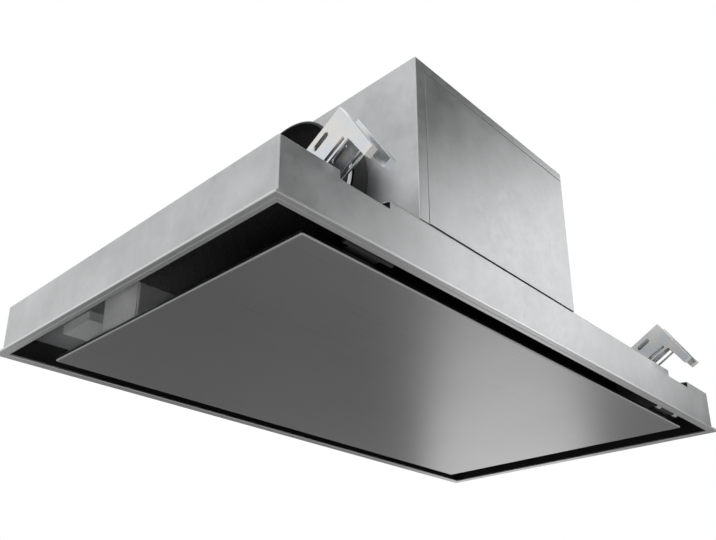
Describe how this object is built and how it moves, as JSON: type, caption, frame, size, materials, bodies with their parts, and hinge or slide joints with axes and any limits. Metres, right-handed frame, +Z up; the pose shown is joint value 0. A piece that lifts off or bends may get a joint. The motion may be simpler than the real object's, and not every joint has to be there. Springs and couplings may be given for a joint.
{
  "type": "ceiling range hood",
  "caption": "Flush ceiling range hood: hinged stainless panel with a suction gap all round, grease filters, fan box with a duct collar, and swinging clamp brackets.",
  "frame": {"origin": "centre of the overall box, at the underside of the trim flange", "axes": "+X along the long side, away from the duct collar; +Y towards the cable gland, with the panel's hinges on the -Y side; +Z up into the ceiling"},
  "size_m": [0.9, 0.5482, 0.262],
  "materials": {
    "stainless": "fine brushed, satin",
    "galvanised": "galvanised sheet, soft mottled",
    "zinc": "bright zinc plated",
    "black_metal": "matt black",
    "foam": "open-cell black foam",
    "aluminium": "satin",
    "bright_band": "bright",
    "black_plastic": "moulded, satin",
    "rubber": "matt",
    "capacitor_can": "gloss",
    "board": "circuit board"
  },
  "bodies": {
    "hood": {"body_tray": "galvanised", "bracket_pins": "zinc", "bracket_seats": "galvanised", "bracket_wells": "black_metal", "cable_gland": "black_plastic", "catch_magnets": "black_plastic", "collar_band": "bright_band", "control_board": "board", "electronics_box": "galvanised", "electronics_cover": "galvanised", "fan_box_cover": "galvanised", "fan_box_screws": "zinc", "fan_box_shell": "galvanised", "fan_box_top": "galvanised", "filter_frame_left": "aluminium", "filter_frame_right": "aluminium", "filter_housing": "black_metal", "filter_mesh_left": "aluminium", "filter_mesh_right": "aluminium", "flap_axle": "zinc", "hinge_frame_leaves": "zinc", "hinge_pins": "zinc", "hinge_screws": "zinc", "inlet_ring": "galvanised", "motor_body": "aluminium", "motor_grommets": "rubber", "motor_mount": "galvanised", "outlet_collar": "black_plastic", "recess_liner": "black_metal", "run_capacitor": "capacitor_can", "scroll_base": "galvanised", "scroll_lid": "galvanised", "scroll_wrap": "galvanised", "sound_mat": "foam", "trim_frame": "stainless"},
    "panel": {"panel_skin": "stainless", "panel_carrier": "black_metal", "hinge_panel_leaves": "zinc", "catch_plates": "zinc"},
    "filter_latch_left": {"filter_latch_left": "black_plastic"},
    "filter_latch_right": {"filter_latch_right": "black_plastic"},
    "impeller": {"impeller_ring": "galvanised", "impeller_plate": "galvanised", "impeller_blades": "galvanised", "motor_shaft": "zinc"},
    "flap_front": {"flap_front": "aluminium", "flap_front_barrels": "aluminium"},
    "flap_rear": {"flap_rear": "aluminium", "flap_rear_barrels": "aluminium"},
    "clamp_bracket_front_left": {"clamp_bracket_front_left": "zinc"},
    "clamp_bracket_front_right": {"clamp_bracket_front_right": "zinc"},
    "clamp_bracket_rear_right": {"clamp_bracket_rear_right": "zinc"},
    "clamp_bracket_rear_left": {"clamp_bracket_rear_left": "zinc"}
  },
  "joints": [
    {"name": "panel_swing", "type": "hinge", "parent": "hood", "child": "panel", "pos_m": [0, -0.227, 0.009], "axis": [-1, 0, 0], "range_deg": [0, 90]},
    {"name": "filter_latch_left_slide", "type": "slide", "parent": "hood", "child": "filter_latch_left", "axis": [0, -1, 0], "range_m": [0, 0.006], "stiffness_N_per_m": 300},
    {"name": "filter_latch_right_slide", "type": "slide", "parent": "hood", "child": "filter_latch_right", "axis": [0, -1, 0], "range_m": [0, 0.006], "stiffness_N_per_m": 300},
    {"name": "impeller_spin", "type": "hinge", "parent": "hood", "child": "impeller", "pos_m": [-0.112, -0.029, 0.145], "axis": [0, 0, 1], "continuous": true},
    {"name": "flap_front_swing", "type": "hinge", "parent": "hood", "child": "flap_front", "pos_m": [-0.264, -0.098, 0.1425], "axis": [0, 0, -1], "range_deg": [0, 70], "stiffness_Nm_per_rad": 0.02},
    {"name": "flap_rear_swing", "type": "hinge", "parent": "hood", "child": "flap_rear", "pos_m": [-0.264, -0.098, 0.1425], "axis": [0, 0, 1], "range_deg": [0, 70], "stiffness_Nm_per_rad": 0.02},
    {"name": "clamp_bracket_front_left_swing", "type": "hinge", "parent": "hood", "child": "clamp_bracket_front_left", "pos_m": [-0.35, -0.1773, 0.0711], "axis": [1, 0, 0], "range_deg": [-55, 35]},
    {"name": "clamp_bracket_front_right_swing", "type": "hinge", "parent": "hood", "child": "clamp_bracket_front_right", "pos_m": [0.326, -0.1773, 0.0711], "axis": [1, 0, 0], "range_deg": [-55, 35]},
    {"name": "clamp_bracket_rear_right_swing", "type": "hinge", "parent": "hood", "child": "clamp_bracket_rear_right", "pos_m": [0.35, 0.1773, 0.0711], "axis": [-1, 0, 0], "range_deg": [-55, 35]},
    {"name": "clamp_bracket_rear_left_swing", "type": "hinge", "parent": "hood", "child": "clamp_bracket_rear_left", "pos_m": [-0.326, 0.1773, 0.0711], "axis": [-1, 0, 0], "range_deg": [-55, 35]}
  ]
}
